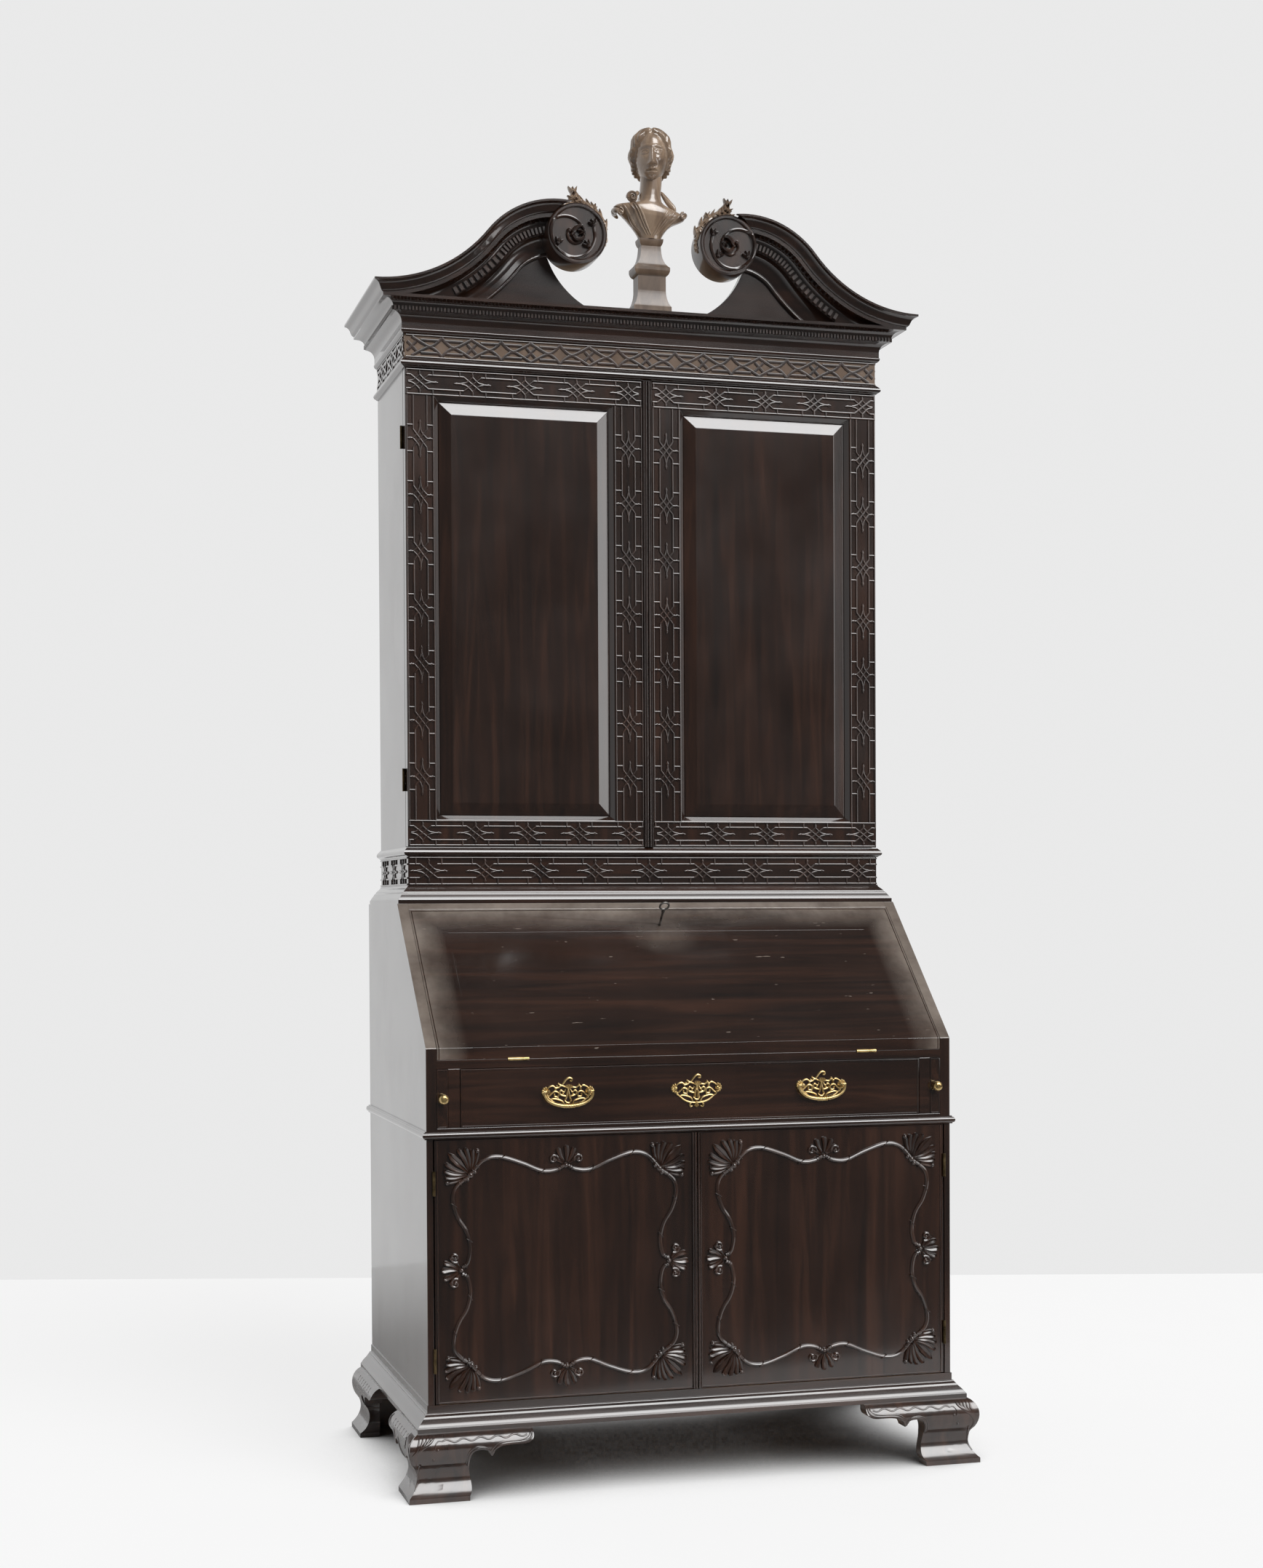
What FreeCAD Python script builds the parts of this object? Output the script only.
import FreeCAD, Part
import math
import os
import re

import Sketcher
from FreeCAD import Placement, Rotation, Vector

# Bureau bookcase: a slant-front desk over a cupboard, with a two-door bookcase and a
# swan-neck pediment above.  Millimetres; +X to the right, the front faces -Y, +Z up.
# The origin lies on the floor under the middle of the piece.

DIMENSIONS = [
    # desk case
    ("case_width", 1040), ("case_depth", 635), ("side_thick", 20), ("back_thick", 12),
    ("slope_foot", 829), ("slope_run", 290.8), ("desk_height", 1096.5), ("desk_top_thick", 22),
    ("bottom_thick", 19), ("dust_thick", 20), ("cupboard_top", 661),
    ("shelf_thick", 16), ("shelf_setback", 30),
    # plinth, base moulding and feet
    ("plinth_top", 170.4), ("plinth_reach", 2), ("plinth_height", 14), ("base_reach", 24.3),
    ("base_fillet", 8), ("foot_height", 124.3), ("foot_reach", 44), ("foot_bulge", 42),
    ("foot_waist", 28), ("foot_pad", 9), ("foot_wing", 235), ("foot_leg", 113), ("foot_thick", 24),
    ("foot_back_thick", 20), ("foot_back_length", 190),
    # moulding between desk and cupboard
    ("mid_reach", 8.2), ("mid_height", 15),
    # sloping fall with its clamped edges, lock and key
    ("fall_thick", 16), ("fall_gap", 0.4), ("lip_width", 17.3), ("fall_side_gap", 0.8),
    ("clamp_width", 68), ("head_clamp_width", 66),
    ("lock_width", 64), ("lock_length", 62), ("lock_thick", 12), ("lock_wall", 1), ("key_inset", 48),
    ("bolt_width", 24), ("bolt_length", 30), ("bolt_thick", 4), ("bolt_depth", 8), ("bolt_gap", 0.3),
    ("bolt_throw", 8), ("bolt_room", 4), ("key_radius", 2.4), ("key_gap", 0.3), ("key_reach", 42),
    ("key_bit", 7), ("key_bit_thick", 2), ("collar_radius", 3.8), ("collar_length", 3),
    ("bow_radius", 9), ("bow_wire", 2),
    # lopers and drawer
    ("loper_width", 21), ("loper_depth", 470), ("divider_width", 22), ("slide_gap", 0.3),
    ("knob_radius", 9.5), ("knob_length", 20), ("knob_stem", 4), ("knob_base", 6),
    ("drawer_front_thick", 20), ("drawer_side_thick", 10), ("drawer_floor_thick", 6),
    ("drawer_length", 560), ("drawer_gap", 1), ("drawer_side_drop", 4),
    # pierced brass handles on the drawer
    ("handle_spread", 503), ("plate_width", 100), ("plate_height", 62), ("plate_thick", 2),
    ("post_spread", 78), ("post_radius", 3.2), ("post_length", 10), ("post_rise", 5),
    ("bail_span", 94), ("bail_drop", 31), ("bail_wire", 3), ("bail_pin", 2), ("pin_gap", 0.05),
    ("bail_stand", 7), ("plate_lift", 3.5),
    # cupboard doors
    ("cupboard_door_thick", 17.6), ("cupboard_stile", 14.5), ("door_gap", 1.2), ("meeting_gap", 1.5),
    ("bead_half", 9.5), ("bead_proud", 7), ("carving_proud", 5), ("carving_line", 7),
    ("carving_inset", 62), ("shell_size", 52), ("middle_shell_size", 39), ("shell_gap", 1),
    ("line_swell", 39), ("line_dip", 18),
    # brass hinges
    ("knuckle_radius", 3), ("knuckle_gap", 0.2), ("hinge_pin", 1.3), ("hinge_length", 45),
    ("leaf_thick", 1), ("leaf_width", 16), ("leaf_slot", 2.4), ("hinge_inset", 132),
    ("cupboard_hinge_inset", 80), ("fall_hinge_spread", 691), ("fall_hinge_length", 40),
    # writing gallery
    ("gallery_setback", 330), ("gallery_thick", 8), ("gallery_rise", 76), ("gallery_holes", 6),
    ("gallery_slots", 3),
    # bookcase
    ("book_width", 986.6), ("book_setback", 316.6), ("book_side_thick", 19), ("book_door_thick", 22),
    ("book_base_height", 35.5), ("book_base_reach", 24.3), ("fret_height", 57.5),
    ("astragal_height", 18.5), ("astragal_reach", 9.3), ("book_door_height", 938),
    ("stile_width", 58), ("rail_width", 53), ("meeting_stile", 70), ("sticking", 9),
    ("panel_bevel", 24), ("panel_thick", 8), ("panel_gap", 0.5), ("field_sink", 1),
    ("frieze_height", 46.5), ("book_board_thick", 18), ("book_shelves", 3),
    # cornice and pediment
    ("cornice_height", 65.5), ("cornice_reach", 50), ("cyma_height", 23), ("cyma_reach", 69),
    ("cyma_fillet", 4), ("crest_rise", 177), ("crest_offset", 194.5), ("rake_low_radius", 285),
    ("rake_depth", 97), ("tympanum_thick", 22), ("tympanum_inset", 4), ("opening_radius", 168),
    ("opening_shift", 47), ("opening_rise", 160), ("opening_head", 49),
    ("volute_offset", 156.5), ("volute_rise", 139),
    ("volute_radius", 61), ("volute_proud", 62), ("volute_eye", 17), ("rim_width", 7),
    ("rim_proud", 4), ("leaf_rise", 40), ("leaf_depth", 30), ("leaf_sink", 1),
    # pedestal and bust
    ("pedestal_width", 78), ("pedestal_depth", 48), ("pedestal_height", 145), ("pedestal_lap", 1),
    ("bust_height", 220), ("bust_width", 150), ("bust_depth", 84), ("chest_height", 79),
    ("head_width", 98), ("head_depth", 104), ("head_height", 110), ("neck_width", 44), ("head_shift", 4),
]

# Places that follow from the sizes above
LEVELS = [
    ("half", "case_width / 2"),
    ("inner", "half - side_thick"),
    ("face", "-(case_depth - foot_reach) / 2"),
    ("rear", "face + case_depth"),
    ("back_face", "rear - back_thick"),
    ("slope_angle", "atan2(desk_height - slope_foot; slope_run)"),
    ("bed_top", "slope_foot - (fall_thick + fall_gap) / cos(slope_angle)"),
    ("bed_low", "bed_top - fall_thick"),
    ("lip_run", "(desk_height - slope_foot) / sin(slope_angle) - lip_width"),
    ("fall_length", "lip_run - fall_side_gap"),
    ("lip_inset", "lip_run * cos(slope_angle)"),
    ("lip_height", "slope_foot + lip_run * sin(slope_angle)"),
    ("loper_top", "bed_low - fall_gap - slide_gap"),
    ("dust_top", "cupboard_top + dust_thick"),
    ("loper_low", "dust_top + slide_gap"),
    ("loper_centre", "inner - slide_gap - loper_width / 2"),
    ("drawer_low", "dust_top + slide_gap"),
    ("drawer_high", "bed_low - drawer_gap"),
    ("drawer_mid", "(drawer_low + drawer_high) / 2"),
    ("plate_mid", "drawer_mid + plate_lift"),
    ("divider_out", "inner - loper_width - 2 * slide_gap"),
    ("drawer_half", "divider_out - divider_width - drawer_gap"),
    ("desk_top_low", "desk_height - desk_top_thick"),
    ("floor_low", "plinth_top - bottom_thick"),
    ("door_out", "half - cupboard_stile"),
    ("cupboard_edge", "face + cupboard_door_thick + door_gap"),
    ("cupboard_low", "plinth_top + door_gap"),
    ("cupboard_high", "cupboard_top - door_gap"),
    ("book_half", "book_width / 2"),
    ("book_inner", "book_half - book_side_thick"),
    ("book_face", "face + book_setback"),
    ("book_door_back", "book_face + book_door_thick"),
    ("book_edge", "book_door_back + leaf_slot"),
    ("base_top", "desk_height + book_base_height"),
    ("fret_top", "base_top + fret_height"),
    ("book_floor", "fret_top + astragal_height"),
    ("book_low", "book_floor + door_gap"),
    ("book_high", "book_low + book_door_height"),
    ("necking_low", "book_high + door_gap"),
    ("necking_top", "necking_low + astragal_height"),
    ("frieze_top", "necking_top + frieze_height"),
    ("cornice_top", "frieze_top + cornice_height"),
    ("cyma_top", "cornice_top + cyma_height"),
    ("crest_top", "cyma_top + crest_rise"),
    ("volute_height", "cornice_top + volute_rise"),
    ("pedestal_mid", "book_face - cornice_reach + pedestal_lap + pedestal_depth / 2"),
    ("pedestal_top", "cornice_top + pedestal_height"),
]

os.makedirs("parts", exist_ok=True)
doc = FreeCAD.newDocument("bureau_bookcase")
dims = doc.addObject("Spreadsheet::Sheet", "dims")
levels = doc.addObject("Spreadsheet::Sheet", "levels")
home = {}
nodes = []


def qualified(text):
    """The expression with every size named together with its sheet."""
    def with_sheet(match):
        word = match.group(0)
        return home[word] + "." + word if word in home else word
    return re.sub(r"[a-z][a-z0-9_]*", with_sheet, text)


def enter(sheet, row, alias, content):
    cell = "A%d" % row
    sheet.set(cell, content)
    sheet.setAlias(cell, alias)
    home[alias] = sheet.Name


for number, (alias, size) in enumerate(DIMENSIONS, start=1):
    enter(dims, number, alias, str(size))
doc.recompute()
for number, (alias, formula) in enumerate(LEVELS, start=1):
    enter(levels, number, alias, "=" + qualified(formula))
doc.recompute()


def mm(text):
    """The number that an expression of named sizes comes to."""
    result = dims.evalExpression(qualified(text))
    return float(getattr(result, "Value", result))


def bind(item, prop, text):
    item.setExpression(prop, qualified(text))


def place(item, x="0", y="0", z="0"):
    bind(item, "Placement.Base.x", x)
    bind(item, "Placement.Base.y", y)
    bind(item, "Placement.Base.z", z)
    return item


def node(item, label):
    item.Label = label
    nodes.append(item)
    return item


def board(name, x, y, z, length, width, height):
    """A plain board: its low corner and its three sizes, all as expressions."""
    item = doc.addObject("Part::Box", name)
    bind(item, "Length", length)
    bind(item, "Width", width)
    bind(item, "Height", height)
    return place(item, x, y, z)


def frustum(name, y, depth, near, far):
    """A block that tapers along Y from the near rectangle to the far one."""
    item = doc.addObject("Part::Wedge", name)
    bind(item, "Ymin", "0")
    bind(item, "Ymax", depth)
    for prop, text in zip(("Xmin", "Xmax", "Zmin", "Zmax"), near):
        bind(item, prop, text)
    for prop, text in zip(("X2min", "X2max", "Z2min", "Z2max"), far):
        bind(item, prop, text)
    return place(item, "0", y)


def group(label, members):
    item = doc.addObject("Part::Compound", label)
    item.Links = members
    return node(item, label)


def boolean(kind, name, base, tool):
    item = doc.addObject("Part::" + kind, name)
    item.Base = base
    item.Tool = tool
    return item


def shaped(name, shape):
    """A form worked out from the sheet's values in code."""
    item = doc.addObject("Part::Feature", name)
    item.Shape = shape
    item.Placement = shape.Placement
    return item


def solid(label, shape):
    return node(shaped(label, shape), label)


def profile_body(name, outline, x, length):
    """A board cut to an outline of (depth, height) points and padded along X."""
    body = doc.addObject("PartDesign::Body", name)
    sketch = body.newObject("Sketcher::SketchObject", name + "_outline")
    plane = [item for item in body.Origin.OriginFeatures if item.Role == "YZ_Plane"][0]
    sketch.AttachmentSupport = [(plane, "")]
    sketch.MapMode = "FlatFace"
    spots = [Vector(mm(depth), mm(height), 0) for depth, height in outline]
    for index, spot in enumerate(spots):
        sketch.addGeometry(Part.LineSegment(spot, spots[(index + 1) % len(spots)]), False)
    for index, (depth, height) in enumerate(outline):
        following = (index + 1) % len(outline)
        sketch.addConstraint(Sketcher.Constraint("Coincident", index, 2, following, 1))
        for kind, text in (("DistanceX", depth), ("DistanceY", height)):
            number = sketch.addConstraint(Sketcher.Constraint(kind, -1, 1, index, 1, mm(text)))
            bind(sketch, "Constraints[%d]" % number, text)
    pad = body.newObject("PartDesign::Pad", name + "_pad")
    pad.Profile = sketch
    bind(pad, "Length", length)
    return place(body, x, "face")


def curve_edge(poles):
    """A straight edge between two poles, or a smooth edge shaped by more."""
    if len(poles) == 2:
        return Part.makeLine(poles[0], poles[1])
    bezier = Part.BezierCurve()
    bezier.setPoles(poles)
    return bezier.toShape()


def section(profile, spot):
    """A closed wire: the profile's (reach, height) poles put in space by spot()."""
    edges = [curve_edge([spot(*pole) for pole in poles]) for poles in profile]
    edges.append(Part.makeLine(spot(*profile[-1][-1]), spot(*profile[0][0])))
    return Part.Wire(edges)


def chain(*points):
    """Straight profile stretches through the points."""
    return [list(pair) for pair in zip(points, points[1:])]


def within(reach, low, high):
    """Turns shares of a moulding's reach and height into a profile point."""
    return lambda share, rise: (reach * share, low + (high - low) * rise)


def corner_spot(sign, half_width, front):
    return lambda reach, height: Vector(sign * (half_width + reach), front - reach, height)


def mitred(profile, side_profile, half_width, front, back):
    """Front, left and right lengths of a moulding, mitred at the two front corners."""
    ends = [section(profile, corner_spot(sign, half_width, front)) for sign in (-1, 1)]
    pieces = [Part.makeLoft(ends, True, True)]
    for sign in (-1, 1):
        corner = section(side_profile, corner_spot(sign, half_width, front))
        tail = section(side_profile, lambda reach, z: Vector(sign * (half_width + reach), back, z))
        pieces.append(Part.makeLoft([corner, tail], True, True))
    return pieces


def prism(points, direction):
    return Part.Face(Part.makePolygon(points + points[:1])).extrude(direction)


def mirrored(shape):
    return shape.mirror(Vector(), Vector(1, 0, 0))


def both_sides(*shapes):
    left = [piece for shape in shapes for piece in shape.Solids]
    return Part.makeCompound(left + [mirrored(piece) for piece in left])


# Desk case
SIDE = [
    ("0", "foot_height"), ("0", "slope_foot"), ("slope_run", "desk_height"),
    ("case_depth", "desk_height"), ("case_depth", "foot_height"),
]
REBATE_WIDTH = "cupboard_stile - leaf_slot"
for side, x, rebate_x in (("left", "-half", "-door_out - leaf_slot"), ("right", "inner", "inner")):
    panel = profile_body("desk_panel_" + side, SIDE, x, "side_thick")
    rebate = board("door_rebate_" + side, rebate_x, "face", "plinth_top",
                   "side_thick - (%s)" % REBATE_WIDTH, "cupboard_edge - face",
                   "cupboard_top - plinth_top")
    node(boolean("Cut", "desk_side_" + side, panel, rebate), "desk_side_" + side)
room_depth = "back_face - face"
node(board("desk_bottom", "-inner", "face", "floor_low", "2 * inner", room_depth, "bottom_thick"),
     "desk_bottom")
group("back_panels", [
    board("desk_back", "-inner", "back_face", "foot_height", "2 * inner", "back_thick",
          "desk_height - foot_height"),
    board("book_back", "-book_inner", "back_face", "desk_height", "2 * book_inner", "back_thick",
          "cornice_top - desk_height"),
])
group("drawer_frame", [
    board("dustboard", "-inner", "face", "cupboard_top", "2 * inner", room_depth, "dust_thick"),
    board("divider_left", "-divider_out", "face", "dust_top", "divider_width", room_depth,
          "bed_low - dust_top"),
    board("divider_right", "divider_out - divider_width", "face", "dust_top", "divider_width",
          room_depth, "bed_low - dust_top"),
])
shelf_boards = [board("cupboard_shelf", "-inner", "cupboard_edge + shelf_setback",
                      "(plinth_top + cupboard_top - shelf_thick) / 2", "2 * inner",
                      "back_face - cupboard_edge - shelf_setback", "shelf_thick")]

# The fall's own frame: across, run up the slope, lift out of its face
slope = math.radians(mm("slope_angle"))
run_way = Vector(0, math.cos(slope), math.sin(slope))
lift_way = Vector(0, -math.sin(slope), math.cos(slope))
fall_turn = Rotation(Vector(1, 0, 0), mm("slope_angle"))
fall_foot = Vector(0, mm("face"), mm("slope_foot"))
hinge_line = Vector(0, mm("face"), mm("bed_top"))
fall_half = mm("inner - fall_side_gap")
fall_thick = mm("fall_thick")
fall_length = mm("fall_length")


def fall_spot(across, run, lift):
    return fall_foot + Vector(across, 0, 0) + run_way * run + lift_way * lift


def fall_block(across, run, lift, size_across, size_run, size_lift):
    """A block set square to the fall, from its low corner."""
    block = Part.makeBox(size_across, size_run, size_lift)
    block.Placement = Placement(fall_spot(across, run, lift), fall_turn)
    return block


def fall_rod(run, lift, radius, height):
    return Part.makeCylinder(radius, height, fall_spot(0, run, lift), lift_way)


# Hinges
knuckle = mm("knuckle_radius")
knuckle_gap = mm("knuckle_gap")
knuckle_reach = knuckle + knuckle_gap
pin_radius = mm("hinge_pin")
pin_bore = pin_radius + mm("pin_gap")
leaf_thick = mm("leaf_thick")
leaf_width = mm("leaf_width")
slot_play = (mm("leaf_slot") - 2 * leaf_thick) / 3
hinge_length = mm("hinge_length")


def hinge_leaf(length, spans, low):
    """A leaf along Z with knuckles over the given spans; it lies beside the pin from Y = low."""
    shape = Part.makeBox(leaf_width, leaf_thick, length, Vector(knuckle_reach, low, 0))
    for start, end in spans:
        barrel = Part.makeCylinder(knuckle, end - start, Vector(0, 0, start))
        tab = Part.makeBox(knuckle_reach, leaf_thick, end - start, Vector(0, low, start))
        shape = shape.fuse([barrel, tab])
    return shape.cut(Part.makeCylinder(pin_bore, length)).removeSplitter()


def hinge_spans(length):
    """Where the knuckles of the fixed leaf and of the moving leaf run along the pin."""
    third = length / 3
    fixed = [(0, third - knuckle_gap), (2 * third + knuckle_gap, length)]
    return fixed, [(third, 2 * third)]


def upright_hinge(x, y, z, turn):
    """Case leaf, door leaf and pin of a butt hinge on the left-hand side."""
    fixed, moving = hinge_spans(hinge_length)
    shapes = [hinge_leaf(hinge_length, fixed, slot_play / 2),
              hinge_leaf(hinge_length, moving, -slot_play / 2 - leaf_thick),
              Part.makeCylinder(pin_radius, hinge_length)]
    spot = Vector(x, y, z - hinge_length / 2)
    for shape in shapes:
        shape.Placement = Placement(spot, Rotation(Vector(0, 0, 1), turn))
    return shapes


book_pin_x = -mm("book_half") - knuckle_reach
book_pin_y = mm("book_door_back + leaf_slot / 2")
desk_pin_x = -mm("door_out + leaf_slot / 2")
desk_pin_y = mm("face") - knuckle_reach
case_leaves = []
for stem, x, y, turn, low, high, inset in (
        ("bookcase_hinge", book_pin_x, book_pin_y, 0, "book_low", "book_high", "hinge_inset"),
        ("cupboard_hinge", desk_pin_x, desk_pin_y, 90, "cupboard_low", "cupboard_high",
         "cupboard_hinge_inset")):
    door_leaves = []
    for z in (mm(low + " + " + inset), mm(high + " - " + inset)):
        case_leaf, door_leaf, pin = upright_hinge(x, y, z, turn)
        case_leaves += [case_leaf, pin]
        door_leaves.append(door_leaf)
    left = Part.makeCompound(door_leaves)
    solid(stem + "_left", left)
    solid(stem + "_right", mirrored(left))
solid("door_hinge_case_leaves", both_sides(*case_leaves))

# Fall hinges, let into the writing bed and the fall
fall_hinge_length = mm("fall_hinge_length")
fixed_spans, moving_spans = hinge_spans(fall_hinge_length)
fall_gap = mm("fall_gap")
seat_length = knuckle_reach + leaf_width
bed_leaves = []
lid_leaves = []
bed_seats = []
lid_seats = []
for across in (-mm("fall_hinge_spread") / 2, mm("fall_hinge_spread") / 2):
    start = hinge_line + Vector(across - fall_hinge_length / 2, 0, 0)
    bed_way = Placement(start, Rotation(Vector(0, 1, 0), Vector(0, 0, 1), Vector(1, 0, 0), "XYZ"))
    lid_way = Placement(start, Rotation(run_way, lift_way, Vector(1, 0, 0), "XYZ"))
    bed_leaf = hinge_leaf(fall_hinge_length, fixed_spans, -leaf_thick)
    lid_leaf = hinge_leaf(fall_hinge_length, moving_spans, fall_gap)
    pin = Part.makeCylinder(pin_radius, fall_hinge_length)
    notch = Part.makeCylinder(knuckle_reach, fall_hinge_length)
    bed_seat = Part.makeBox(seat_length, leaf_thick, fall_hinge_length, Vector(0, -leaf_thick, 0))
    lid_seat = Part.makeBox(seat_length, leaf_thick, fall_hinge_length, Vector(0, fall_gap, 0))
    for shape in (bed_leaf, pin, bed_seat, notch):
        shape.Placement = bed_way
    for shape in (lid_leaf, lid_seat):
        shape.Placement = lid_way
    bed_leaves += [bed_leaf, pin]
    lid_leaves.append(lid_leaf)
    bed_seats += [bed_seat, notch]
    lid_seats += [lid_seat, notch]
solid("fall_hinge_bed_leaves", Part.makeCompound(bed_leaves))
solid("fall_hinge_lid_leaves", Part.makeCompound(lid_leaves))
bed_blank = board("bed_blank", "-inner", "face", "bed_low", "2 * inner", room_depth, "fall_thick")
bed_cuts = shaped("bed_seats", Part.makeCompound(bed_seats))
node(boolean("Cut", "writing_bed", bed_blank, bed_cuts), "writing_bed")

# Fall: a board inside a mitred clamp frame, with the lock let into its back
lid_edge = hinge_line + Vector(0, 0, fall_gap / math.cos(slope))
lid_outline = [lid_edge, fall_foot, fall_spot(0, fall_length, 0), fall_spot(0, fall_length, -fall_thick)]
lid_blank = prism([spot - Vector(fall_half, 0, 0) for spot in lid_outline], Vector(2 * fall_half, 0, 0))
board_half = fall_half - mm("clamp_width")
board_run = fall_length - mm("head_clamp_width")
overrun = -mm("slope_foot - bed_low")


def fall_slab(points):
    """A slab right through the fall over an outline of (across, run) points."""
    outline = [fall_spot(across, run, -2 * fall_thick) for across, run in points]
    return prism(outline, lift_way * (3 * fall_thick))


lock_half = mm("lock_width") / 2
lock_length = mm("lock_length")
lock_thick = mm("lock_thick")
lock_wall = mm("lock_wall")
key_radius = mm("key_radius")
key_run = fall_length - mm("key_inset")
lock_block = fall_block(-lock_half, fall_length - lock_length, -fall_thick, 2 * lock_half, lock_length,
                        lock_thick)
key_hole = fall_rod(key_run, -fall_thick, key_radius + mm("key_gap"), 2 * fall_thick)
middle = fall_slab([(-board_half, overrun), (board_half, overrun), (board_half, board_run),
                    (-board_half, board_run)])
solid("fall_board", lid_blank.common(middle).cut(Part.makeCompound(lid_seats)))
side_clamp = lid_blank.common(fall_slab([(-fall_half, overrun), (-board_half, overrun),
                                         (-board_half, board_run), (-fall_half, fall_length)]))
head_clamp = lid_blank.common(fall_slab([(-board_half, board_run), (board_half, board_run),
                                         (fall_half, fall_length), (-fall_half, fall_length)]))
head_clamp = head_clamp.cut(lock_block).cut(key_hole)
solid("fall_clamps", Part.makeCompound(
    [piece for shape in (side_clamp, mirrored(side_clamp), head_clamp) for piece in shape.Solids]))

bolt_half = mm("bolt_width") / 2
bolt_gap = mm("bolt_gap")
bolt_thick = mm("bolt_thick")
bolt_length = mm("bolt_length")
bolt_lift = -mm("bolt_depth") - bolt_thick / 2
bolt_run = fall_length - bolt_length - bolt_gap
way_half = bolt_half + bolt_gap
way_thick = bolt_thick + 2 * bolt_gap
bolt_travel = mm("bolt_throw + bolt_room")
bolt_way = fall_block(-way_half, bolt_run - bolt_gap, bolt_lift - bolt_gap, 2 * way_half,
                      bolt_length + bolt_travel, way_thick)
bit_chamber = fall_rod(key_run, lock_wall - fall_thick, key_radius + mm("key_bit"),
                       lock_thick - 2 * lock_wall)
solid("fall_lock", lock_block.cut(bolt_way).cut(bit_chamber).cut(key_hole))
solid("fall_bolt", fall_block(-bolt_half, bolt_run, bolt_lift, 2 * bolt_half, bolt_length, bolt_thick))
key_reach = mm("key_reach")
key_low = 2 * lock_wall - fall_thick
key_shaft = fall_rod(key_run, key_low, key_radius, key_reach - key_low)
bit_thick = mm("key_bit_thick")
key_bit = fall_block(0, key_run - bit_thick / 2, key_low, mm("key_bit"), bit_thick,
                     lock_thick - 4 * lock_wall)
collar_length = mm("collar_length")
collar = fall_rod(key_run, key_reach - 2 * collar_length, mm("collar_radius"), collar_length)
bow_radius = mm("bow_radius")
bow = Part.makeTorus(bow_radius, mm("bow_wire"), fall_spot(0, key_run, key_reach + bow_radius), run_way)
solid("fall_key", key_shaft.fuse([key_bit, collar, bow]).removeSplitter())

DESK_TOP = [
    ("slope_run", "desk_height"), (room_depth, "desk_height"), (room_depth, "desk_top_low"),
    ("lip_inset + (lip_height - desk_top_low) * tan(slope_angle)", "desk_top_low"),
    ("lip_inset", "lip_height"),
]
top_blank = profile_body("desk_top_blank", DESK_TOP, "-inner", "2 * inner")
bolt_mortise = shaped("bolt_mortise", fall_block(-way_half, fall_length, bolt_lift - bolt_gap,
                                                 2 * way_half, bolt_travel, way_thick))
node(boolean("Cut", "desk_top", top_blank, bolt_mortise), "desk_top")

# Writing gallery: a shelf over open slots, with pigeonholes above
gallery_depth = "back_face - face - gallery_setback"
gallery = [board("gallery_shelf", "-inner", "face + gallery_setback", "bed_top + gallery_rise",
                 "2 * inner", gallery_depth, "gallery_thick")]


def uprights(count_name, low, height):
    for number in range(1, int(mm(count_name))):
        across = "-inner + 2 * inner * %d / %s - gallery_thick / 2" % (number, count_name)
        gallery.append(board("%s_upright_%d" % (count_name, number), across, "face + gallery_setback",
                             low, "gallery_thick", gallery_depth, height))


uprights("gallery_slots", "bed_top", "gallery_rise")
uprights("gallery_holes", "bed_top + gallery_rise + gallery_thick",
         "desk_top_low - bed_top - gallery_rise - gallery_thick")
group("gallery", gallery)

# Lopers and their knobs
knob_stem = mm("knob_stem")
knob_base = mm("knob_base")
knob_radius = mm("knob_radius")
knob_length = mm("knob_length")
KNOB = [
    [(0, 0), (knob_base, 0)],
    [(knob_base, 0), (knob_base, 0.1 * knob_length), (knob_stem, 0.1 * knob_length)],
    [(knob_stem, 0.1 * knob_length), (knob_stem, 0.3 * knob_length), (knob_radius, 0.25 * knob_length),
     (knob_radius, 0.6 * knob_length)],
    [(knob_radius, 0.6 * knob_length), (knob_radius, knob_length), (0.4 * knob_radius, knob_length),
     (0, knob_length)],
]
for side, sign in (("left", -1), ("right", 1)):
    node(board("loper_" + side, "%d * loper_centre - loper_width / 2" % sign, "face", "loper_low",
               "loper_width", "loper_depth", "loper_top - loper_low"), "loper_" + side)
    root = Vector(sign * mm("loper_centre"), mm("face"), mm("drawer_mid"))
    outline = section(KNOB, lambda reach, out: root + Vector(reach, -out, 0))
    solid("loper_knob_" + side, Part.Face(outline).revolve(root, Vector(0, 1, 0), 360))

# Drawer with its handles
node(board("drawer_front", "-drawer_half", "face", "drawer_low", "2 * drawer_half",
           "drawer_front_thick", "drawer_high - drawer_low"), "drawer_front")
box_height = "drawer_high - drawer_low - drawer_side_drop"
box_front = "face + drawer_front_thick"
box_width = "2 * (drawer_half - drawer_side_thick)"
group("drawer_box", [
    board("drawer_side_left", "-drawer_half", box_front, "drawer_low", "drawer_side_thick",
          "drawer_length", box_height),
    board("drawer_side_right", "drawer_half - drawer_side_thick", box_front, "drawer_low",
          "drawer_side_thick", "drawer_length", box_height),
    board("drawer_back", "-drawer_half + drawer_side_thick",
          box_front + " + drawer_length - drawer_side_thick", "drawer_low", box_width,
          "drawer_side_thick", box_height),
])
node(board("drawer_floor", "-drawer_half + drawer_side_thick", box_front, "drawer_low", box_width,
           "drawer_length - drawer_side_thick", "drawer_floor_thick"), "drawer_floor")

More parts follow.
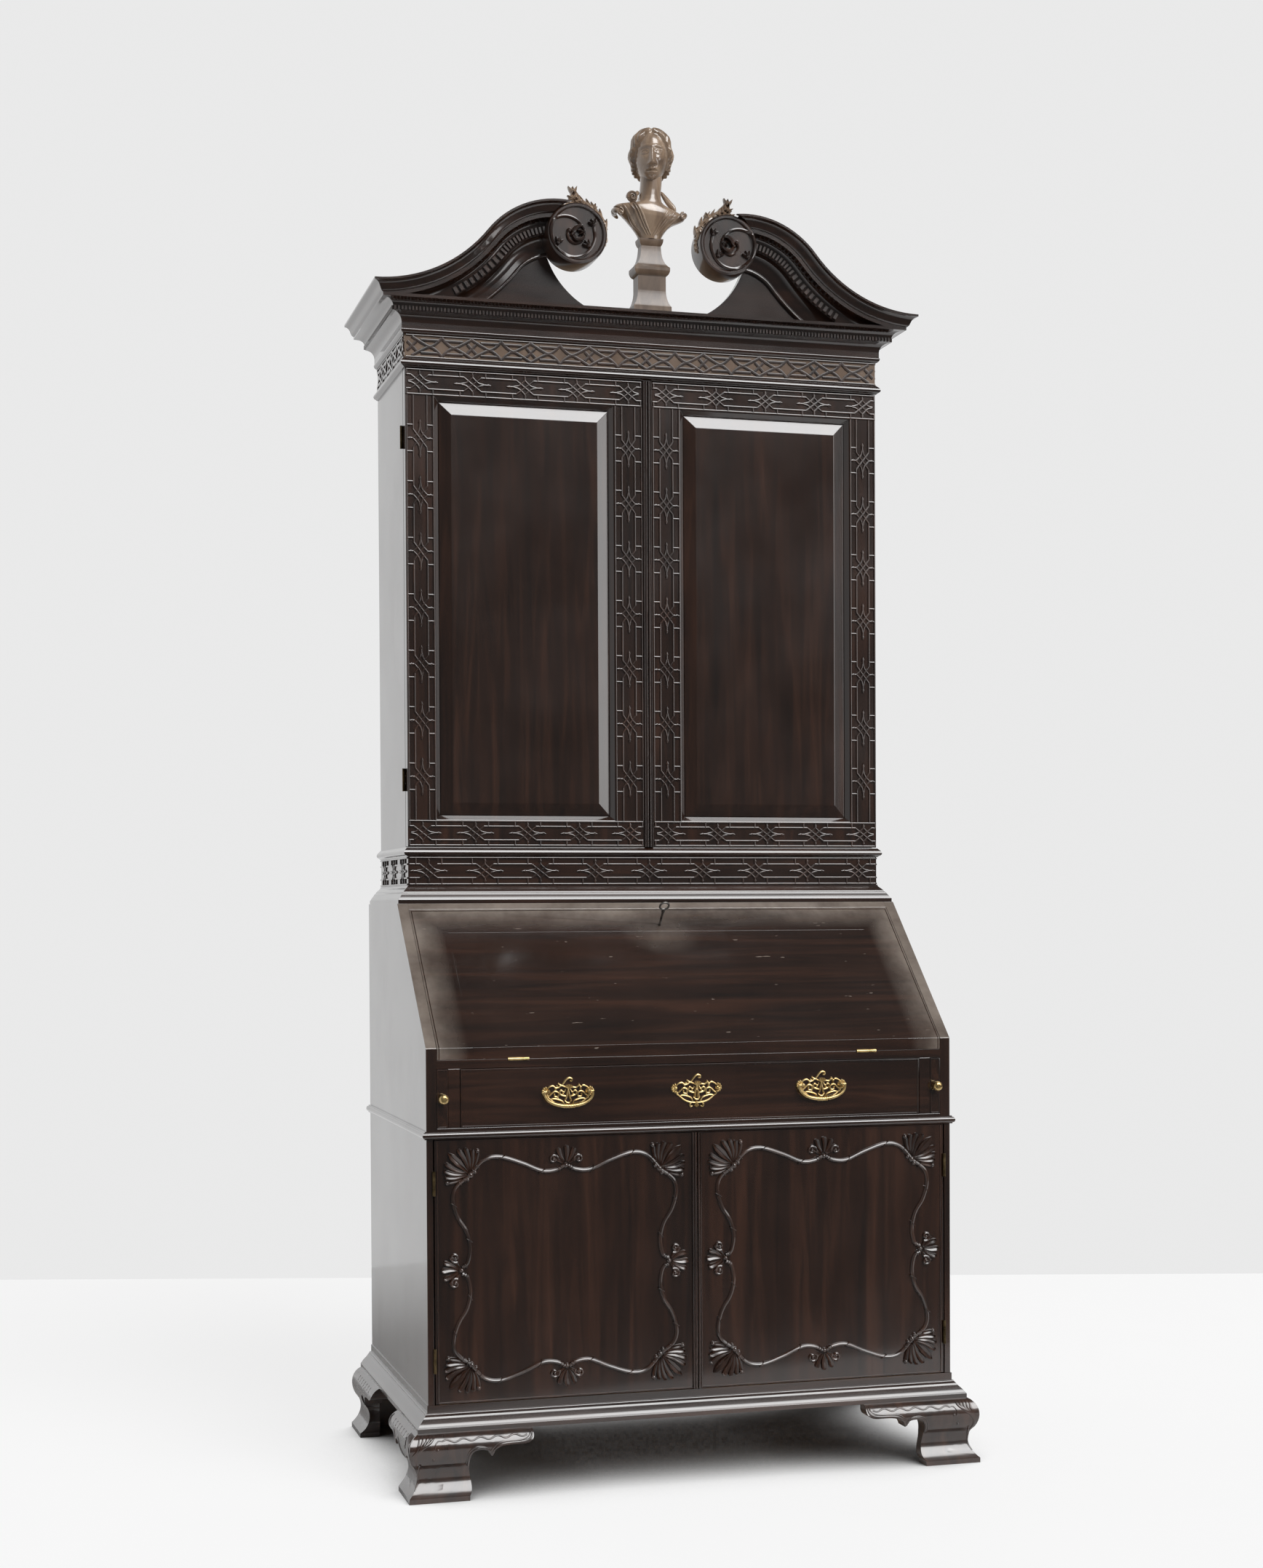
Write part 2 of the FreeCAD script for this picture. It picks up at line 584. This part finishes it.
plate_half = mm("plate_width") / 2
plate_rise = mm("plate_height")
plate_thick = mm("plate_thick")
PLATE = [
    [(-1, 0.12), (-1, -0.6), (1, -0.6), (1, 0.12)],
    [(1, 0.12), (1, 0.3), (0.6, 0.39), (0.3, 0.3)],
    [(0.3, 0.3), (0.2, 0.62), (-0.2, 0.62), (-0.3, 0.3)],
    [(-0.3, 0.3), (-0.6, 0.39), (-1, 0.3), (-1, 0.12)],
]


def plate_shape(centre):
    """A kidney-shaped back plate with a low crest, flat on the drawer front."""
    edges = [curve_edge([centre + Vector(plate_half * x, 0, plate_rise * z) for x, z in poles])
             for poles in PLATE]
    return Part.Face(Part.Wire(edges)).extrude(Vector(0, -plate_thick, 0))


bail_half = mm("bail_span") / 2
bail_wire = mm("bail_wire")
post_half = mm("post_spread") / 2
post_radius = mm("post_radius")
bail_reach = Vector(bail_half, 0, 0)
brass_plates = [plate_shape(Vector(0, mm("face"), mm("plate_mid")))]
for side, sign in (("left", -1), ("right", 1)):
    centre = Vector(sign * mm("handle_spread") / 2, mm("face"), mm("plate_mid"))
    pivot = centre + Vector(0, -mm("plate_thick + bail_stand"), mm("post_rise"))
    bore = Part.makeCylinder(mm("bail_pin + pin_gap"), 2 * bail_half, pivot - bail_reach, Vector(1, 0, 0))
    brass_plates.append(plate_shape(centre))
    arc = Part.Arc(pivot - bail_reach, pivot - Vector(0, 0, mm("bail_drop")), pivot + bail_reach).toShape()
    ring = Part.Wire(Part.makeCircle(bail_wire, pivot - bail_reach, arc.tangentAt(arc.FirstParameter)))
    bail = Part.Wire(arc).makePipeShell([ring], True, True)
    for hand in (-1, 1):
        foot = centre + Vector(hand * post_half, -plate_thick, mm("post_rise"))
        post = Part.makeCylinder(post_radius, mm("post_length"), foot, Vector(0, -1, 0))
        brass_plates.append(post.cut(bore))
        tip = pivot + bail_reach * hand
        pin = Part.makeCylinder(mm("bail_pin"), bail_half - post_half + post_radius, tip, Vector(-hand, 0, 0))
        bail = bail.fuse([pin, Part.makeSphere(bail_wire, tip)])
    solid("bail_" + side, bail.removeSplitter())
solid("handle_plates", Part.makeCompound(brass_plates))

# Mouldings of the desk
case_half = mm("half")
case_face = mm("face")
case_rear = mm("rear")
foot_height = mm("foot_height")
base_reach = mm("base_reach")
plinth_reach = mm("plinth_reach")
plinth_top = mm("plinth_top")
plinth_low = mm("plinth_top - plinth_height")
fillet_top = mm("foot_height + base_fillet")
ogee = within(base_reach, fillet_top, plinth_low)
BASE = chain((0, plinth_top), (plinth_reach, plinth_top), (plinth_reach, plinth_low))
BASE += [
    [(plinth_reach, plinth_low), ogee(0.25, 1), ogee(0.25, 0.87)],
    [ogee(0.25, 0.87), ogee(0.36, 0.76)],
    [ogee(0.36, 0.76), ogee(0.5, 0.5), ogee(0.76, 0.38), ogee(0.9, 0.12)],
    [ogee(0.9, 0.12), ogee(1, 0)],
]
BASE += chain((base_reach, fillet_top), (base_reach, foot_height), (0, foot_height))
solid("base_moulding", Part.makeCompound(mitred(BASE, BASE, case_half, case_face, case_rear)))
torus = within(mm("mid_reach"), mm("cupboard_top"), mm("cupboard_top + mid_height"))
MID = chain(torus(0, 1), torus(0.4, 1), torus(0.4, 0.87))
MID += [[torus(0.4, 0.87), torus(1.2, 0.87), torus(1.2, 0.13), torus(0.5, 0.13)]]
MID += chain(torus(0.5, 0.13), torus(0.5, 0), torus(0, 0))
solid("mid_moulding", Part.makeCompound(mitred(MID, MID, case_half, case_face, case_rear)))

# Ogee bracket feet
toe = mm("foot_reach")
pad = mm("foot_pad")
bulge = mm("foot_bulge")
waist = mm("foot_waist")
wing = mm("foot_wing")
leg = mm("foot_leg")
foot_inside = waist - mm("foot_thick")
turn_height = 0.55 * foot_height
turn_reach = (bulge + waist) / 2
OGEE = [
    [(foot_inside, foot_height), (base_reach, foot_height)],
    [(base_reach, foot_height), (1.08 * bulge, 0.93 * foot_height), (1.14 * bulge, 0.71 * foot_height),
     (turn_reach, turn_height)],
    [(turn_reach, turn_height), (0.68 * waist, 0.42 * foot_height), (0.78 * waist, pad + 0.15 * foot_height),
     (toe, pad)],
    [(toe, pad), (toe, 0)],
    [(toe, 0), (foot_inside, 0)],
]
BELOW = -1


def arch(share, rise):
    """A point under the bracket, from shares of the wing's length and the foot's height."""
    return (leg + (wing - leg) * share, foot_height * rise)


BRACKET_VOID = [
    [(leg, BELOW), (leg, pad)],
    [(leg, pad), arch(0.1, 0.18), arch(0, 0.36), arch(0.01, 0.5)],
    [arch(0.01, 0.5), arch(-0.01, 0.68), arch(0.06, 0.74), arch(0.17, 0.74)],
    [arch(0.17, 0.74), arch(0.27, 0.74), arch(0.34, 0.71), arch(0.35, 0.63)],
    [arch(0.35, 0.63), arch(0.38, 0.8), arch(0.6, 0.79), arch(0.75, 0.79)],
    [arch(0.75, 0.79), arch(0.92, 0.78), arch(1, 0.82), arch(1, 0.92)],
    [arch(1, 0.92), arch(1.1, 0.92)],
    [arch(1.1, 0.92), (arch(1.1, 0)[0], BELOW)],
]


def bracket(start, end, void_spot, void_way):
    """A shaped bar between two sections, with the scrolled outline cut out below it."""
    bar = Part.makeLoft([section(OGEE, start), section(OGEE, end)], True, True)
    return bar.cut(Part.Face(section(BRACKET_VOID, void_spot)).extrude(void_way))


toe_x = -case_half - toe
front_bracket = bracket(corner_spot(-1, case_half, case_face),
                        lambda reach, z: Vector(toe_x + wing, case_face - reach, z),
                        lambda along, z: Vector(toe_x + along, case_face - 2 * toe, z),
                        Vector(0, 3 * toe, 0))
side_bracket = front_bracket.mirror(Vector(-case_half, case_face, 0), Vector(1, -1, 0))
solid("feet_front", both_sides(front_bracket, side_bracket))
back_bracket = bracket(lambda reach, z: Vector(-case_half - reach, case_rear, z),
                       lambda reach, z: Vector(-case_half - reach, case_rear - wing, z),
                       lambda along, z: Vector(-case_half - 2 * toe, case_rear - along, z),
                       Vector(3 * toe, 0, 0))
back_x = -case_half - foot_inside
board_length = mm("foot_back_length")
back_board = prism([Vector(back_x + along, case_rear, z) for along, z in (
    (0, 0), (0.5 * board_length, 0), (0.57 * board_length, 0.5 * foot_height),
    (board_length, 0.9 * foot_height), (board_length, foot_height), (0, foot_height))],
    Vector(0, -mm("foot_back_thick"), 0))
solid("feet_back", both_sides(back_bracket, back_board))

# Cupboard doors, their meeting beads and applied carving
for side, x in (("left", "-door_out"), ("right", "meeting_gap / 2")):
    node(board("cupboard_door_" + side, x, "face", "cupboard_low", "door_out - meeting_gap / 2",
               "cupboard_door_thick", "cupboard_high - cupboard_low"), "cupboard_door_" + side)


def meeting_bead(front, low, high):
    """Half of the reeded bead that covers the doors' meeting edges, on the left door."""
    start = mm("meeting_gap") / 2
    width = mm("bead_half") - start
    proud = mm("bead_proud")
    def reed(share, out):
        return (start + width * share, proud * out)
    profile = chain(reed(0, 0), reed(0, 0.7))
    profile += [
        [reed(0, 0.7), reed(0, 1.1), reed(0.55, 1.1), reed(0.55, 0.5)],
        [reed(0.55, 0.5), reed(0.6, 0.95), reed(1, 0.95), reed(1, 0)],
    ]
    wire = section(profile, lambda x, out: Vector(-x, front - out, low))
    return Part.Face(wire).extrude(Vector(0, 0, high - low))


for stem, front, low, high in (("cupboard_bead", "face", "cupboard_low", "cupboard_high"),
                               ("bookcase_bead", "book_face", "book_low", "book_high")):
    bead = meeting_bead(mm(front), mm(low), mm(high))
    solid(stem + "_left", bead)
    solid(stem + "_right", mirrored(bead))

# The carved line runs as a serpentine between corner shells and middle shells
line_half = mm("carving_line") / 2
line_clear = line_half + mm("shell_gap")
carve_out = Vector(0, -mm("carving_proud"), 0)
shell = mm("shell_size")
middle_shell = mm("middle_shell_size")
inset = mm("carving_inset")
frame_left = -mm("door_out") + inset
frame_right = -mm("meeting_gap") / 2 - inset
frame_low = mm("cupboard_low") + inset
frame_high = mm("cupboard_high") - inset
frame_mid = Vector((frame_left + frame_right) / 2, case_face, (frame_low + frame_high) / 2)


def ribbon(poles):
    """A flat raised line of even width along a smooth curve."""
    sides = []
    for hand in (-1, 1):
        side_poles = []
        for index, pole in enumerate(poles):
            before = poles[max(index - 1, 0)]
            after = poles[min(index + 1, len(poles) - 1)]
            way = (after - before).normalize()
            side_poles.append(pole + Vector(-way.z, 0, way.x) * (hand * line_half))
        sides.append(side_poles)
    back = sides[1][::-1]
    edges = [curve_edge(sides[0]), Part.makeLine(sides[0][-1], back[0]), curve_edge(back),
             Part.makeLine(back[-1], sides[0][0])]
    return Part.Face(Part.Wire(edges)).extrude(carve_out)


def shell_fan(root, angle, radius, spread):
    """A shell: a sector that opens from its root towards the given angle."""
    def rim(turn):
        way = math.radians(angle + turn)
        return root + Vector(radius * math.cos(way), 0, radius * math.sin(way))
    edges = [Part.makeLine(root, rim(-spread)), Part.Arc(rim(-spread), rim(0), rim(spread)).toShape(),
             Part.makeLine(rim(spread), root)]
    return Part.Face(Part.Wire(edges)).extrude(carve_out)


def serpentine(start, end, outward):
    """Poles of a carved stretch: it swells out near the corner and dips in near the middle."""
    along = end - start
    way = Vector(along).normalize()
    return [start + way * line_clear, start + along * 0.3 + outward * mm("line_swell"),
            start + along * 0.65 - outward * mm("line_dip"), end - way * line_clear]


# Half the angle that a shell opens to, in degrees
CORNER_SPREAD = 45
MIDDLE_SPREAD = 50
carved = []
for x, out_x in ((frame_left, -1), (frame_right, 1)):
    for z, out_z in ((frame_low, -1), (frame_high, 1)):
        corner = Vector(x, case_face, z)
        top_start = corner - Vector(out_x * shell / 4, 0, 0)
        side_start = corner - Vector(0, 0, out_z * shell / 4)
        carved.append(ribbon(serpentine(top_start, Vector(frame_mid.x, case_face, z), Vector(0, 0, out_z))))
        carved.append(ribbon(serpentine(side_start, Vector(x, case_face, frame_mid.z), Vector(out_x, 0, 0))))
        carved.append(shell_fan(corner, math.degrees(math.atan2(out_z, out_x)), shell,
                                CORNER_SPREAD))
for root, angle in ((Vector(frame_mid.x, case_face, frame_high), 90),
                    (Vector(frame_mid.x, case_face, frame_low), 270),
                    (Vector(frame_left, case_face, frame_mid.z), 180),
                    (Vector(frame_right, case_face, frame_mid.z), 0)):
    carved.append(shell_fan(root, angle, middle_shell, MIDDLE_SPREAD))
carving = Part.makeCompound(carved)
solid("cupboard_carving_left", carving)
solid("cupboard_carving_right", mirrored(carving))

# Bookcase case
for side, x in (("left", "-book_half"), ("right", "book_inner")):
    node(board("bookcase_side_" + side, x, "book_edge", "desk_height", "book_side_thick",
               "rear - book_edge", "cyma_top - desk_height"), "bookcase_side_" + side)
book_room = "back_face - book_edge"
node(board("bookcase_bottom", "-book_inner", "book_edge", "book_floor - book_board_thick",
           "2 * book_inner", book_room, "book_board_thick"), "bookcase_bottom")
group("bookcase_top", [
    board("bookcase_ceiling", "-book_inner", "book_edge", "necking_low", "2 * book_inner", book_room,
          "book_board_thick"),
    board("bookcase_dust_cover", "-book_inner", "book_edge", "cornice_top - book_board_thick",
          "2 * book_inner", book_room, "book_board_thick"),
])
for number in range(1, int(mm("book_shelves")) + 1):
    rise = "book_floor + (necking_low - book_floor) * %d / (book_shelves + 1) - book_board_thick / 2"
    shelf_boards.append(board("book_shelf_%d" % number, "-book_inner", "book_edge + shelf_setback",
                              rise % number, "2 * book_inner", book_room + " - shelf_setback",
                              "book_board_thick"))
group("shelves", shelf_boards)
group("bookcase_friezes", [
    board("lower_frieze", "-book_half", "book_face", "desk_height", "2 * book_half",
          "book_edge - book_face", "book_floor - desk_height"),
    board("upper_frieze", "-book_half", "book_face", "necking_low", "2 * book_half",
          "book_edge - book_face", "cornice_top - necking_low"),
])

# Bookcase mouldings
book_half = mm("book_half")
book_face = mm("book_face")
cornice_top = mm("cornice_top")
cyma_top = mm("cyma_top")
cornice_reach = mm("cornice_reach")
cyma_reach = mm("cyma_reach")
cyma_height = mm("cyma_height")
cyma_fillet = mm("cyma_fillet")


def book_moulding(profile, side_profile):
    return mitred(profile, side_profile, book_half, book_face, case_rear)


foot = within(mm("book_base_reach"), mm("desk_height"), mm("base_top"))
BOOK_BASE = chain(foot(0, 1), foot(0.08, 1), foot(0.08, 0.94))
BOOK_BASE += [
    [foot(0.08, 0.94), foot(0.2, 0.82), foot(0.42, 0.76), foot(0.52, 0.61)],
    [foot(0.52, 0.61), foot(0.6, 0.58)],
    [foot(0.6, 0.58), foot(0.7, 0.44), foot(0.86, 0.36), foot(0.95, 0.21)],
]
BOOK_BASE += chain(foot(0.95, 0.21), foot(1, 0.21), foot(1, 0), foot(0, 0))
solid("bookcase_base_moulding", Part.makeCompound(book_moulding(BOOK_BASE, BOOK_BASE)))
astragals = []
for low, high in (("fret_top", "book_floor"), ("necking_low", "necking_top")):
    nose = within(mm("astragal_reach"), mm(low), mm(high))
    ASTRAGAL = chain(nose(0, 1), nose(0.2, 1))
    ASTRAGAL += [
        [nose(0.2, 1), nose(0.36, 0.82), nose(0.86, 0.78), nose(1, 0.45)],
        [nose(1, 0.45), nose(1, 0.1), nose(0.4, 0.2), nose(0.25, 0)],
        [nose(0.25, 0), nose(0, 0)],
    ]
    astragals += book_moulding(ASTRAGAL, ASTRAGAL)
solid("bookcase_astragals", Part.makeCompound(astragals))
crown = within(cornice_reach, mm("frieze_top"), cornice_top)
CORNICE = chain(crown(0, 0), crown(0.05, 0))
CORNICE += [
    [crown(0.05, 0), crown(0.18, 0.05), crown(0.18, 0.14), crown(0.13, 0.15)],
    [crown(0.13, 0.15), crown(0.13, 0.32)],
    [crown(0.13, 0.32), crown(0.16, 0.55), crown(0.36, 0.58), crown(0.52, 0.6)],
    [crown(0.52, 0.6), crown(0.53, 0.73)],
    [crown(0.53, 0.73), crown(0.6, 0.91), crown(0.8, 0.91), crown(1, 0.91)],
    [crown(1, 0.91), crown(1, 1)],
]


def cyma(share, rise):
    """A point of the crown's top curve, from shares of its reach and height."""
    return (cornice_reach + (cyma_reach - cornice_reach) * share, (cyma_height - cyma_fillet) * rise)


CYMA = [cyma(0, 0), cyma(0.47, 0.1), cyma(0.21, 0.9), cyma(1, 1)]
RETURN = [[(reach, cornice_top + rise) for reach, rise in CYMA]]
RETURN += chain(RETURN[0][-1], (cyma_reach, cyma_top), (0, cyma_top))
solid("cornice", Part.makeCompound(book_moulding(CORNICE + chain(crown(1, 1), crown(0, 1)),
                                                 CORNICE + RETURN)))

# Volutes: a scroll drum with a raised rim, a round eye and a leaf that rises from it
turn_axis = Vector(0, 1, 0)
volute_hub = Vector(-mm("volute_offset"), book_face - mm("volute_proud"), mm("volute_height"))
volute_radius = mm("volute_radius")
volute_depth = mm("volute_proud + tympanum_thick")
rim_width = mm("rim_width")
rim_proud = mm("rim_proud")
rim_back = volute_hub - Vector(0, rim_proud, 0)
drum = Part.makeCylinder(volute_radius, volute_depth, volute_hub, turn_axis)
rim = Part.makeCylinder(volute_radius - rim_width, rim_proud, rim_back, turn_axis)
rim = rim.cut(Part.makeCylinder(volute_radius - 2 * rim_width, rim_proud, rim_back, turn_axis))
eye_radius = mm("volute_eye")
eye = Part.makeSphere(eye_radius, volute_hub + Vector(0, 0.4 * eye_radius, 0))
leaf_top = volute_radius + mm("leaf_rise")
LEAF = [
    [(-0.75, 0.36), (-0.5, 0.63), (-0.2, 0.66), (-0.08, 0.6)],
    [(-0.08, 0.6), (-0.06, 0.9), (0.02, 0.93), (0.03, 1)],
    [(0.03, 1), (0.2, 0.81), (0.4, 0.72), (0.55, 0.67)],
    [(0.55, 0.67), (0.8, 0.54), (0.92, 0.36), (0.9, 0.18)],
]
leaf_wire = section(LEAF, lambda x, z: volute_hub + Vector(volute_radius * x, mm("leaf_sink"), leaf_top * z))
leaf = Part.Face(leaf_wire).extrude(Vector(0, mm("leaf_depth"), 0))
volute = drum.fuse([rim, eye, leaf]).removeSplitter()
solid("volutes", both_sides(volute))

# Swan-neck pediment: each rake is a low hollow arc running into a high round arc
crest_offset = mm("crest_offset")
crest_top = mm("crest_top")
low_radius = mm("rake_low_radius")
tip_x = -book_half - cyma_reach
sweep_run = -crest_offset - tip_x
sweep_rise = crest_top - cyma_top
high_radius = (sweep_run ** 2 + sweep_rise ** 2) / (2 * sweep_rise) - low_radius
sweep_turn = 2 * math.atan2(sweep_rise, sweep_run)
tail_turn = math.asin((crest_offset - mm("volute_offset")) / high_radius)
low_hub = Vector(tip_x, book_face, cyma_top + low_radius)
high_hub = Vector(-crest_offset, book_face, crest_top - high_radius)
rake_depth = mm("rake_depth")
bed = within(cornice_reach, cyma_height, rake_depth)
RAKE = chain((0, 0), (cyma_reach, 0), (cyma_reach, cyma_fillet))
RAKE += [
    [(reach, cyma_height - rise) for reach, rise in CYMA][::-1],
    [bed(1, 0), bed(1, 0.1)],
    [bed(1, 0.1), bed(0.8, 0.1), bed(0.6, 0.11), bed(0.54, 0.23)],
    [bed(0.54, 0.23), bed(0.5, 0.47)],
    [bed(0.5, 0.47), bed(0.34, 0.5), bed(0.2, 0.58), bed(0.16, 0.77)],
    [bed(0.16, 0.77), bed(0.1, 0.89)],
    [bed(0.1, 0.89), bed(0.16, 0.92), bed(0.16, 1), bed(0.06, 1)],
    [bed(0.06, 1), bed(0, 1)],
]


def rake_arc(x, top, hub, turn):
    """The rake's section at (x, top), turned about the hub."""
    wire = section(RAKE, lambda reach, sink: Vector(x, book_face - reach, top - sink))
    return Part.Face(wire).revolve(hub, turn_axis, math.degrees(turn))


rake = rake_arc(tip_x, cyma_top, low_hub, -sweep_turn).fuse([
    rake_arc(-crest_offset, crest_top, high_hub, -sweep_turn),
    rake_arc(-crest_offset, crest_top, high_hub, tail_turn)]).removeSplitter()
drum_seat = Part.makeCylinder(volute_radius, 3 * volute_depth, volute_hub - Vector(0, volute_depth, 0),
                              turn_axis)
cornice_room = Part.makeBox(2 * book_half, 4 * cyma_reach, 2 * rake_depth,
                            Vector(-2 * book_half, book_face - 3 * cyma_reach, cornice_top - 2 * rake_depth))
mitre_low = cornice_top - rake_depth
past_mitre = prism([Vector(-book_half + cyma_reach, book_face + cyma_reach, mitre_low),
                    Vector(-book_half - 2 * cyma_reach, book_face - 2 * cyma_reach, mitre_low),
                    Vector(-book_half - 3 * cyma_reach, book_face + cyma_reach, mitre_low)],
                   Vector(0, 0, 3 * rake_depth))
for tool in (cornice_room, past_mitre, drum_seat, volute):
    rake = rake.cut(tool)
solid("rakes", both_sides(rake))


def arc_spot(hub, radius, angle):
    return hub + Vector(radius * math.sin(angle), 0, radius * math.cos(angle))


# Pediment boards follow the rakes above and are cut round towards the middle
low_in = low_radius + mm("tympanum_inset")
high_in = high_radius - mm("tympanum_inset")
opening_radius = mm("opening_radius")
opening_hub = Vector(-mm("opening_shift"), book_face, cornice_top + mm("opening_rise"))


def opening_arm(drop):
    """From the middle of the round cut to its edge, at a given drop below that middle."""
    return Vector(-math.sqrt(opening_radius ** 2 - drop ** 2), 0, -drop)


foot_arm = opening_arm(mm("opening_rise"))
head_arm = opening_arm(mm("opening_head"))
foot_spot = opening_hub + foot_arm
head_spot = opening_hub + head_arm
edge_mid = opening_hub + (foot_arm + head_arm).normalize() * opening_radius
outer_foot = Vector(-book_half, book_face, cornice_top)
outer_top = Vector(-book_half, book_face, low_hub.z - math.sqrt(low_in ** 2 - cyma_reach ** 2))
turn_spot = arc_spot(low_hub, low_in, math.pi - sweep_turn)
crest_spot = arc_spot(high_hub, high_in, 0)
board_edges = [
    Part.makeLine(outer_foot, outer_top),
    Part.Arc(outer_top, arc_spot(low_hub, low_in, math.pi - 0.6 * sweep_turn), turn_spot).toShape(),
    Part.Arc(turn_spot, arc_spot(high_hub, high_in, -0.5 * sweep_turn), crest_spot).toShape(),
    Part.makeLine(crest_spot, head_spot),
    Part.Arc(head_spot, edge_mid, foot_spot).toShape(),
    Part.makeLine(foot_spot, outer_foot),
]
pediment_board = Part.Face(Part.Wire(board_edges)).extrude(Vector(0, mm("tympanum_thick"), 0))
solid("tympana", both_sides(pediment_board.cut(drum_seat)))

# Pedestal: square mouldings, made where two crossing silhouettes meet
pedestal_mid = mm("pedestal_mid")
pedestal_height = mm("pedestal_height")
pedestal_half_x = mm("pedestal_width") / 2
pedestal_half_y = mm("pedestal_depth") / 2
PEDESTAL = [
    [(1, 0), (1, 0.06)],
    [(1, 0.06), (0.86, 0.1), (0.76, 0.18), (0.74, 0.28)],
    [(0.74, 0.28), (0.74, 0.48)],
    [(0.74, 0.48), (0.9, 0.5), (0.94, 0.56)],
    [(0.94, 0.56), (0.94, 0.6)],
    [(0.94, 0.6), (0.62, 0.66), (0.54, 0.76), (0.52, 0.9)],
    [(0.52, 0.9), (0.64, 0.94), (0.64, 1)],
]


def silhouette(spot, way):
    """The pedestal's outline on both sides of its middle, carried along way."""
    right = [[spot(share, rise) for share, rise in poles] for poles in PEDESTAL]
    left = [[spot(-share, rise) for share, rise in poles] for poles in PEDESTAL]
    edges = [curve_edge(poles) for poles in right]
    edges.append(Part.makeLine(right[-1][-1], left[-1][-1]))
    edges += [curve_edge(poles[::-1]) for poles in left[::-1]]
    edges.append(Part.makeLine(left[0][0], right[0][0]))
    return Part.Face(Part.Wire(edges)).extrude(way)


front_view = silhouette(lambda share, rise: Vector(
    pedestal_half_x * share, pedestal_mid - 2 * pedestal_half_y, cornice_top + pedestal_height * rise),
    Vector(0, 4 * pedestal_half_y, 0))
side_view = silhouette(lambda share, rise: Vector(
    -2 * pedestal_half_x, pedestal_mid + pedestal_half_y * share, cornice_top + pedestal_height * rise),
    Vector(4 * pedestal_half_x, 0, 0))
solid("pedestal", front_view.common(side_view).removeSplitter())

# Bust: a draped chest on a small socle, a neck and a head
chest = mm("bust_width") / 2
chest_deep = mm("bust_depth") / 2
chest_height = mm("chest_height")
head_half = mm("head_width") / 2
head_deep = mm("head_depth") / 2
head_rise = mm("head_height") / 2
neck = mm("neck_width") / 2
neck_low = Vector(0, 0, 0.75 * chest_height)
head_mid = Vector(mm("head_shift"), 0, mm("bust_height") - head_rise)
CHEST = [
    [(0, 0), (0.3, 0)],
    [(0.3, 0), (0.34, 0.3), (0.7, 0.25), (0.9, 0.5)],
    [(0.9, 0.5), (1.05, 0.62), (1.02, 0.8), (0.85, 0.84)],
    [(0.85, 0.84), (0.6, 0.88), (0.35, 0.98), (0.1, 1)],
    [(0.1, 1), (0, 1)],
]


def stretched(shape, x, y, z):
    """The shape drawn out along each axis from the origin."""
    stretch = FreeCAD.Matrix()
    stretch.scale(x, y, z)
    return shape.transformGeometry(stretch)


turned = Part.Face(section(CHEST, lambda share, rise: Vector(chest * share, 0, chest_height * rise)))
chest_solid = stretched(turned.revolve(Vector(), Vector(0, 0, 1), 360), 1, chest_deep / chest, 1)
neck_solid = Part.makeCone(neck, 0.85 * neck, (head_mid - neck_low).Length, neck_low, head_mid - neck_low)
head_ball = stretched(Part.makeSphere(head_rise), head_half / head_rise, head_deep / head_rise, 1)
head_solid = head_ball.translated(head_mid)
bust = chest_solid.fuse([neck_solid, head_solid])
solid("bust", bust.translated(Vector(0, pedestal_mid, mm("pedestal_top"))))

# Bookcase doors: a frame and a raised panel each
for side, left_edge, right_edge, sight_left, sight_right in (
        ("left", "-book_half", "-meeting_gap / 2", "-book_half + stile_width", "-meeting_stile"),
        ("right", "meeting_gap / 2", "book_half", "meeting_stile", "book_half - stile_width")):
    sight = (sight_left, sight_right, "book_low + rail_width", "book_high - rail_width")
    signs = (" + ", " - ", " + ", " - ")
    light = tuple(text + sign + "sticking" for text, sign in zip(sight, signs))
    edge = tuple(text + sign + "panel_gap" for text, sign in zip(light, signs))
    field = tuple(text + sign + "panel_bevel" for text, sign in zip(edge, signs))
    blank = board("door_blank_" + side, left_edge, "book_face", "book_low",
                  "%s - (%s)" % (right_edge, left_edge), "book_door_thick", "book_door_height")
    moulded = frustum("door_sticking_" + side, "book_face", "sticking", sight, light)
    opening = board("door_light_" + side, light[0], "book_face + sticking", light[2],
                    "%s - (%s)" % (light[1], light[0]), "book_door_thick",
                    "%s - (%s)" % (light[3], light[2]))
    chamfered = boolean("Cut", "door_moulded_" + side, blank, moulded)
    node(boolean("Cut", "bookcase_frame_" + side, chamfered, opening), "bookcase_frame_" + side)
    plate = board("panel_plate_" + side, edge[0], "book_face + sticking", edge[2],
                  "%s - (%s)" % (edge[1], edge[0]), "panel_thick", "%s - (%s)" % (edge[3], edge[2]))
    raised = frustum("panel_field_" + side, "book_face + field_sink", "sticking - field_sink", field, edge)
    node(boolean("Fuse", "bookcase_panel_" + side, plate, raised), "bookcase_panel_" + side)

# Everything is rebuilt and checked before any file is written
doc.recompute()
faulty = [item.Name for item in doc.Objects if "Invalid" in item.State or "Error" in item.State]
faulty += [item.Label for item in nodes if item.Shape.isNull() or not item.Shape.isValid()]
if faulty:
    raise RuntimeError("these pieces failed: " + ", ".join(faulty))
for item in nodes:
    item.Shape.exportStep("parts/%s.step" % item.Label)
print(len(nodes), "pieces written")
